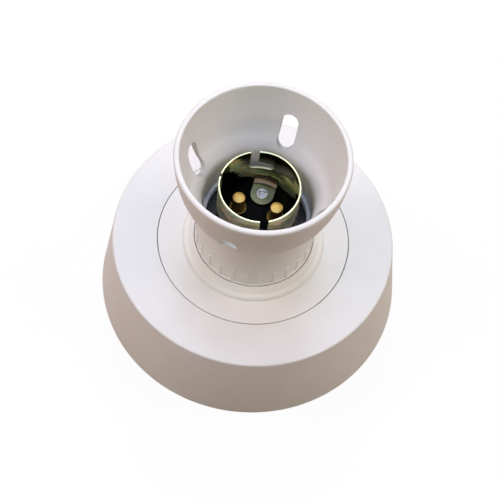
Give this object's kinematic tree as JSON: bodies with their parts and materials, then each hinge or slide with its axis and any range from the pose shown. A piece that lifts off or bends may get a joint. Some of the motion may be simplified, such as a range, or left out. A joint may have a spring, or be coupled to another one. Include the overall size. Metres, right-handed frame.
{
  "type": "batten lamp holder",
  "caption": "Ceiling or wall lamp holder for a bayonet lamp cap, with a conical base, a screwed bell skirt and sprung contacts.",
  "frame": {"origin": "centre of the mounting face", "axes": "+Z from the mounting face towards the lamp, X through the two contact plungers"},
  "size_m": [0.0904, 0.0904, 0.0725],
  "materials": {
    "white_plastic": "moulded, satin white",
    "black_plastic": "moulded, glossy black",
    "passivated_steel": "zinc plated and yellow passivated sheet",
    "brass": "turned brass",
    "bright_steel": "bright plated steel"
  },
  "bodies": {
    "holder": {"base_cover": "white_plastic", "cover_disc": "white_plastic", "neck_body": "white_plastic", "back_plate": "white_plastic", "insulator": "black_plastic", "terminal_plate": "black_plastic", "bayonet_sleeve": "passivated_steel", "sleeve_rivet_front": "bright_steel", "sleeve_rivet_back": "bright_steel", "spring_left": "bright_steel", "spring_right": "bright_steel", "terminal_left": "brass", "terminal_right": "brass", "terminal_screw_left": "bright_steel", "terminal_screw_right": "bright_steel", "insulator_screws": "bright_steel", "neck_screws": "bright_steel", "earth_terminal": "brass", "earth_screw": "bright_steel"},
    "skirt": {"skirt": "white_plastic"},
    "contact_left": {"contact_left": "brass"},
    "contact_right": {"contact_right": "brass"}
  },
  "joints": [
    {"name": "skirt_unscrew", "type": "hinge", "parent": "holder", "child": "skirt", "pos_m": [0, 0, 0.0271], "axis": [0, 0, 1], "range_deg": [0, 1440]},
    {"name": "contact_left_press", "type": "slide", "parent": "holder", "child": "contact_left", "axis": [0, 0, -1], "range_m": [0, 0.0045], "stiffness_N_per_m": 900, "springref_m": -0.003, "deforming": ["spring_left"]},
    {"name": "contact_right_press", "type": "slide", "parent": "holder", "child": "contact_right", "axis": [0, 0, -1], "range_m": [0, 0.0045], "stiffness_N_per_m": 900, "springref_m": -0.003, "deforming": ["spring_right"]}
  ]
}
